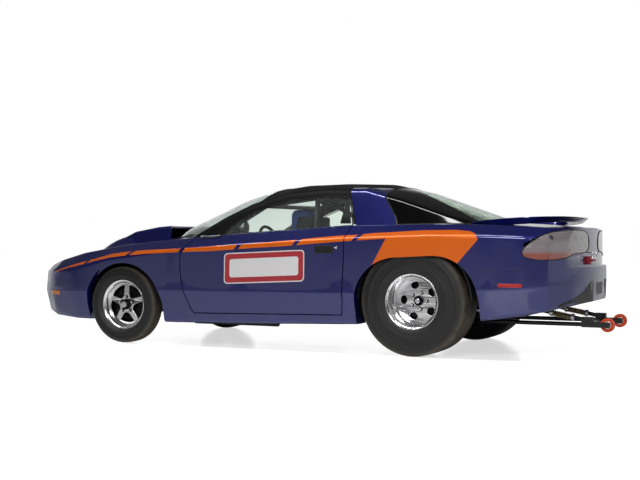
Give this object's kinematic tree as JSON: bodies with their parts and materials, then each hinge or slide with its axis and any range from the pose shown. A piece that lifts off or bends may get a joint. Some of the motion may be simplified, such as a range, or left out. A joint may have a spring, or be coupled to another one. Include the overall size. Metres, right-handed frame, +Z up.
{
  "type": "drag racing car",
  "caption": "Wedge-nosed coupe converted for drag racing, with a rear-facing hood scoop, slick tyres, roll cage, wheelie bar, opening doors and hatch, and a lift-off hood.",
  "frame": {"origin": "on the ground, on the centre plane, half way between the nose and the rear of the wheelie bar's rollers", "axes": "+X towards the nose, +Y to the car's left, +Z up"},
  "size_m": [4.99, 1.8916, 1.3203],
  "materials": {
    "body_paint": "gloss",
    "roof_paint": "gloss",
    "lamp_lens": "gloss",
    "window_glass": "clear, faintly tinted",
    "chassis_paint": "satin",
    "bare_metal": "satin",
    "pipe_finish": "satin",
    "tube_paint": "gloss",
    "seat_cover": "woven",
    "interior_plastic": "matt",
    "wheel_grip": "matt",
    "tyre_rubber": "matt",
    "rim_metal": "polished",
    "roller_rubber": "satin",
    "switch_red": "gloss"
  },
  "bodies": {
    "car_body": {"nose_cover": "body_paint", "cowl_panel": "body_paint", "fender_left": "body_paint", "fender_right": "body_paint", "quarter_panel_left": "body_paint", "quarter_panel_right": "body_paint", "rear_cover": "body_paint", "tail_lamps": "lamp_lens", "roof_panel": "roof_paint", "windshield": "window_glass", "floor_pan": "chassis_paint", "rear_floor": "chassis_paint", "subframe": "chassis_paint", "engine_block": "bare_metal", "drive_line": "bare_metal", "exhausts": "pipe_finish", "roll_cage": "tube_paint", "driver_seat": "seat_cover", "dashboard": "interior_plastic", "steering_column": "interior_plastic", "rear_axle": "tube_paint", "wheelie_bar": "tube_paint", "kill_switch": "switch_red", "front_arms": "tube_paint"},
    "hood": {"hood": "body_paint"},
    "door_left": {"door_left": "body_paint", "door_glass_left": "window_glass"},
    "door_right": {"door_right": "body_paint", "door_glass_right": "window_glass"},
    "hatch": {"hatch_glass": "window_glass", "deck_lid": "body_paint", "spoiler": "body_paint"},
    "steering_wheel": {"steering_wheel": "wheel_grip"},
    "knuckle_left": {"knuckle_left": "bare_metal"},
    "knuckle_right": {"knuckle_right": "bare_metal"},
    "wheel_front_left": {"tyre_front_left": "tyre_rubber", "rim_front_left": "rim_metal"},
    "wheel_front_right": {"tyre_front_right": "tyre_rubber", "rim_front_right": "rim_metal"},
    "wheel_rear_left": {"tyre_rear_left": "tyre_rubber", "rim_rear_left": "rim_metal"},
    "wheel_rear_right": {"tyre_rear_right": "tyre_rubber", "rim_rear_right": "rim_metal"},
    "roller_left": {"roller_left": "roller_rubber"},
    "roller_right": {"roller_right": "roller_rubber"}
  },
  "joints": [
    {"name": "knuckle_left_steer", "type": "hinge", "parent": "car_body", "child": "knuckle_left", "pos_m": [1.412, 0.79, 0.318], "axis": [0, 0, 1], "range_deg": [-30, 30]},
    {"name": "knuckle_right_steer", "type": "hinge", "parent": "car_body", "child": "knuckle_right", "pos_m": [1.412, -0.79, 0.318], "axis": [0, 0, 1], "range_deg": [-30, 30]},
    {"name": "steering_wheel_turn", "type": "hinge", "parent": "car_body", "child": "steering_wheel", "pos_m": [0.292, 0.35, 0.81], "axis": [-0.9272, 0, 0.3746], "range_deg": [-450, 450]},
    {"name": "wheel_front_left_spin", "type": "hinge", "parent": "knuckle_left", "child": "wheel_front_left", "pos_m": [1.412, 0.8275, 0.318], "axis": [0, 1, 0], "continuous": true},
    {"name": "wheel_front_right_spin", "type": "hinge", "parent": "knuckle_right", "child": "wheel_front_right", "pos_m": [1.412, -0.8275, 0.318], "axis": [0, 1, 0], "continuous": true},
    {"name": "wheel_rear_left_spin", "type": "hinge", "parent": "car_body", "child": "wheel_rear_left", "pos_m": [-1.156, 0.739, 0.405], "axis": [0, 1, 0], "continuous": true},
    {"name": "wheel_rear_right_spin", "type": "hinge", "parent": "car_body", "child": "wheel_rear_right", "pos_m": [-1.156, -0.739, 0.405], "axis": [0, 1, 0], "continuous": true},
    {"name": "door_left_hinge", "type": "hinge", "parent": "car_body", "child": "door_left", "pos_m": [0.81, 0.943, 0.6], "axis": [0, 0, -1], "range_deg": [0, 65]},
    {"name": "door_right_hinge", "type": "hinge", "parent": "car_body", "child": "door_right", "pos_m": [0.81, -0.943, 0.6], "axis": [0, 0, 1], "range_deg": [0, 65]},
    {"name": "hood_lift", "type": "slide", "parent": "car_body", "child": "hood", "axis": [0, 0, 1], "range_m": [0, 0.4]},
    {"name": "hatch_hinge", "type": "hinge", "parent": "car_body", "child": "hatch", "pos_m": [-0.812, 0, 1.286], "axis": [0, 1, 0], "range_deg": [0, 60]},
    {"name": "roller_left_spin", "type": "hinge", "parent": "car_body", "child": "roller_left", "pos_m": [-2.443, 0.25, 0.232], "axis": [0, 1, 0], "continuous": true},
    {"name": "roller_right_spin", "type": "hinge", "parent": "car_body", "child": "roller_right", "pos_m": [-2.443, -0.25, 0.232], "axis": [0, 1, 0], "continuous": true}
  ],
  "couplings": [
    {"joint": "knuckle_right_steer", "follows": "knuckle_left_steer", "ratio": 1},
    {"joint": "steering_wheel_turn", "follows": "knuckle_left_steer", "ratio": 15}
  ]
}
